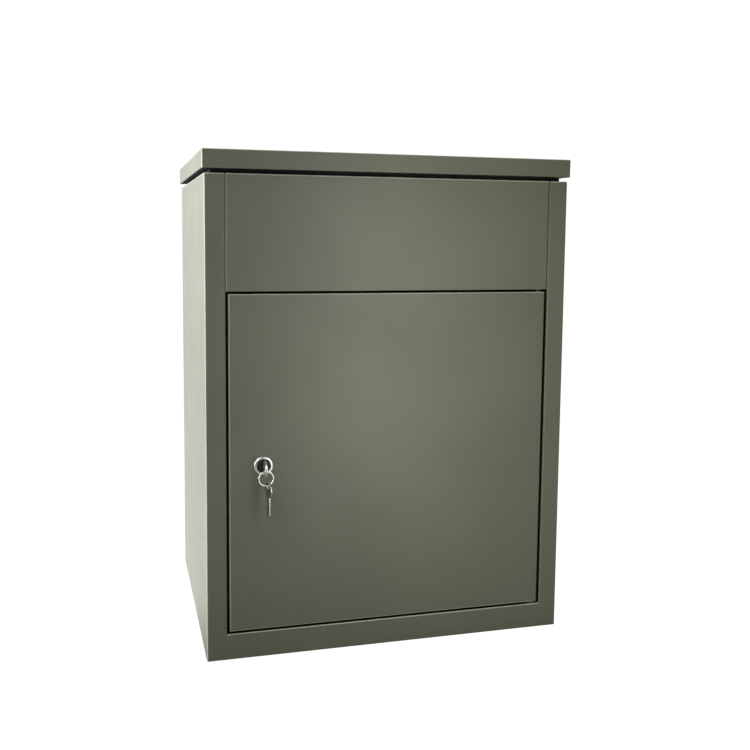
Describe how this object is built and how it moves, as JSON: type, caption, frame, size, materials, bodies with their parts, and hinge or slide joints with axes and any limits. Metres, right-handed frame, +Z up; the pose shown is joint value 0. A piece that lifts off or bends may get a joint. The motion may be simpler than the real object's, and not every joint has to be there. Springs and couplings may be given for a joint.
{
  "type": "book drop box",
  "caption": "Free-standing sheet-steel book drop cabinet with a rear-hinged lid over an anti-theft drop tray and a lockable front door with hidden pivots.",
  "frame": {"origin": "on the floor, at the centre of the cabinet's base and of the floor bolt pattern", "axes": "+X to the right as seen from the front, +Y to the rear, +Z up; the door faces -Y"},
  "size_m": [0.44, 0.3817, 0.58],
  "materials": {
    "powder_coat": "satin olive-grey powder coat with a fine orange-peel texture",
    "zinc_steel": "zinc-plated steel, satin",
    "nickel": "bright nickel plate",
    "rubber": "matte black rubber",
    "nylon": "natural nylon, satin"
  },
  "bodies": {
    "cabinet": {"left_side_panel": "powder_coat", "right_side_panel": "powder_coat", "rear_panel": "powder_coat", "base_panel": "powder_coat", "bottom_rail": "powder_coat", "upper_front_panel": "powder_coat", "top_collar": "powder_coat", "door_stop_strip": "powder_coat", "door_bumpers": "rubber", "tray_bracket_left": "powder_coat", "tray_bracket_right": "powder_coat", "tray_studs": "zinc_steel", "tray_bushes": "nylon", "tray_stud_clips": "zinc_steel", "tray_buffers": "rubber", "tray_stops": "rubber", "hinge_leaf_cabinet": "zinc_steel", "cabinet_leaf_rivets": "zinc_steel", "hinge_pin": "zinc_steel", "door_bush_top": "nylon", "door_bush_bottom": "nylon", "door_washer": "zinc_steel"},
    "lid": {"lid_panel": "powder_coat", "lid_seal": "rubber", "hinge_leaf_lid": "zinc_steel", "lid_leaf_rivets": "zinc_steel", "lid_lug_left": "powder_coat", "lid_lug_right": "powder_coat", "lid_lug_pins": "zinc_steel", "lid_pin_clips": "zinc_steel"},
    "tray": {"drop_tray": "powder_coat", "tray_link_pins": "zinc_steel", "tray_pin_clips": "zinc_steel"},
    "left_link": {"link_left": "zinc_steel"},
    "right_link": {"link_right": "zinc_steel"},
    "door": {"door_panel": "powder_coat", "door_stiffener": "powder_coat", "pivot_pin_top": "zinc_steel", "pivot_pin_bottom": "zinc_steel", "lock_housing": "nickel", "lock_nut": "zinc_steel"},
    "plug": {"lock_plug": "nickel", "lock_cam": "zinc_steel", "cam_washer": "zinc_steel", "cam_screw": "zinc_steel"},
    "key": {"door_key": "nickel"},
    "ring": {"key_ring": "nickel"},
    "spare": {"spare_key": "nickel"}
  },
  "joints": [
    {"name": "lid_hinge", "type": "hinge", "parent": "cabinet", "child": "lid", "pos_m": [0, 0.1772, 0.5565], "axis": [-1, 0, 0], "range_deg": [0, 80]},
    {"name": "tray_hinge", "type": "hinge", "parent": "cabinet", "child": "tray", "pos_m": [0, 0.1575, 0.474], "axis": [-1, 0, 0], "range_deg": [0, 80]},
    {"name": "left_link_pivot", "type": "hinge", "parent": "lid", "child": "left_link", "pos_m": [-0.192, 0.1472, 0.50454], "axis": [-1, 0, 0], "range_deg": [-80, 0]},
    {"name": "right_link_pivot", "type": "hinge", "parent": "lid", "child": "right_link", "pos_m": [0.192, 0.1472, 0.50454], "axis": [-1, 0, 0], "range_deg": [-80, 0]},
    {"name": "door_hinge", "type": "hinge", "parent": "cabinet", "child": "door", "pos_m": [0.1845, -0.1665, 0.227], "axis": [0, 0, 1], "range_deg": [0, 105]},
    {"name": "lock_turn", "type": "hinge", "parent": "door", "child": "plug", "pos_m": [-0.1525, -0.1725, 0.2255], "axis": [0, -1, 0], "range_deg": [0, 90]},
    {"name": "key_slide", "type": "slide", "parent": "plug", "child": "key", "axis": [0, -1, 0], "range_m": [0, 0.022]},
    {"name": "ring_swing", "type": "hinge", "parent": "key", "child": "ring", "pos_m": [-0.1525, -0.1925, 0.22345], "axis": [-1, 0, 0], "range_deg": [-8, 60]},
    {"name": "spare_key_swing", "type": "hinge", "parent": "ring", "child": "spare", "pos_m": [-0.14969, -0.1925, 0.20755], "axis": [-1, 0, 0], "range_deg": [-15, 25]}
  ],
  "couplings": [
    {"joint": "tray_hinge", "follows": "lid_hinge", "ratio": 1},
    {"joint": "left_link_pivot", "follows": "lid_hinge", "ratio": -1},
    {"joint": "right_link_pivot", "follows": "lid_hinge", "ratio": -1}
  ]
}
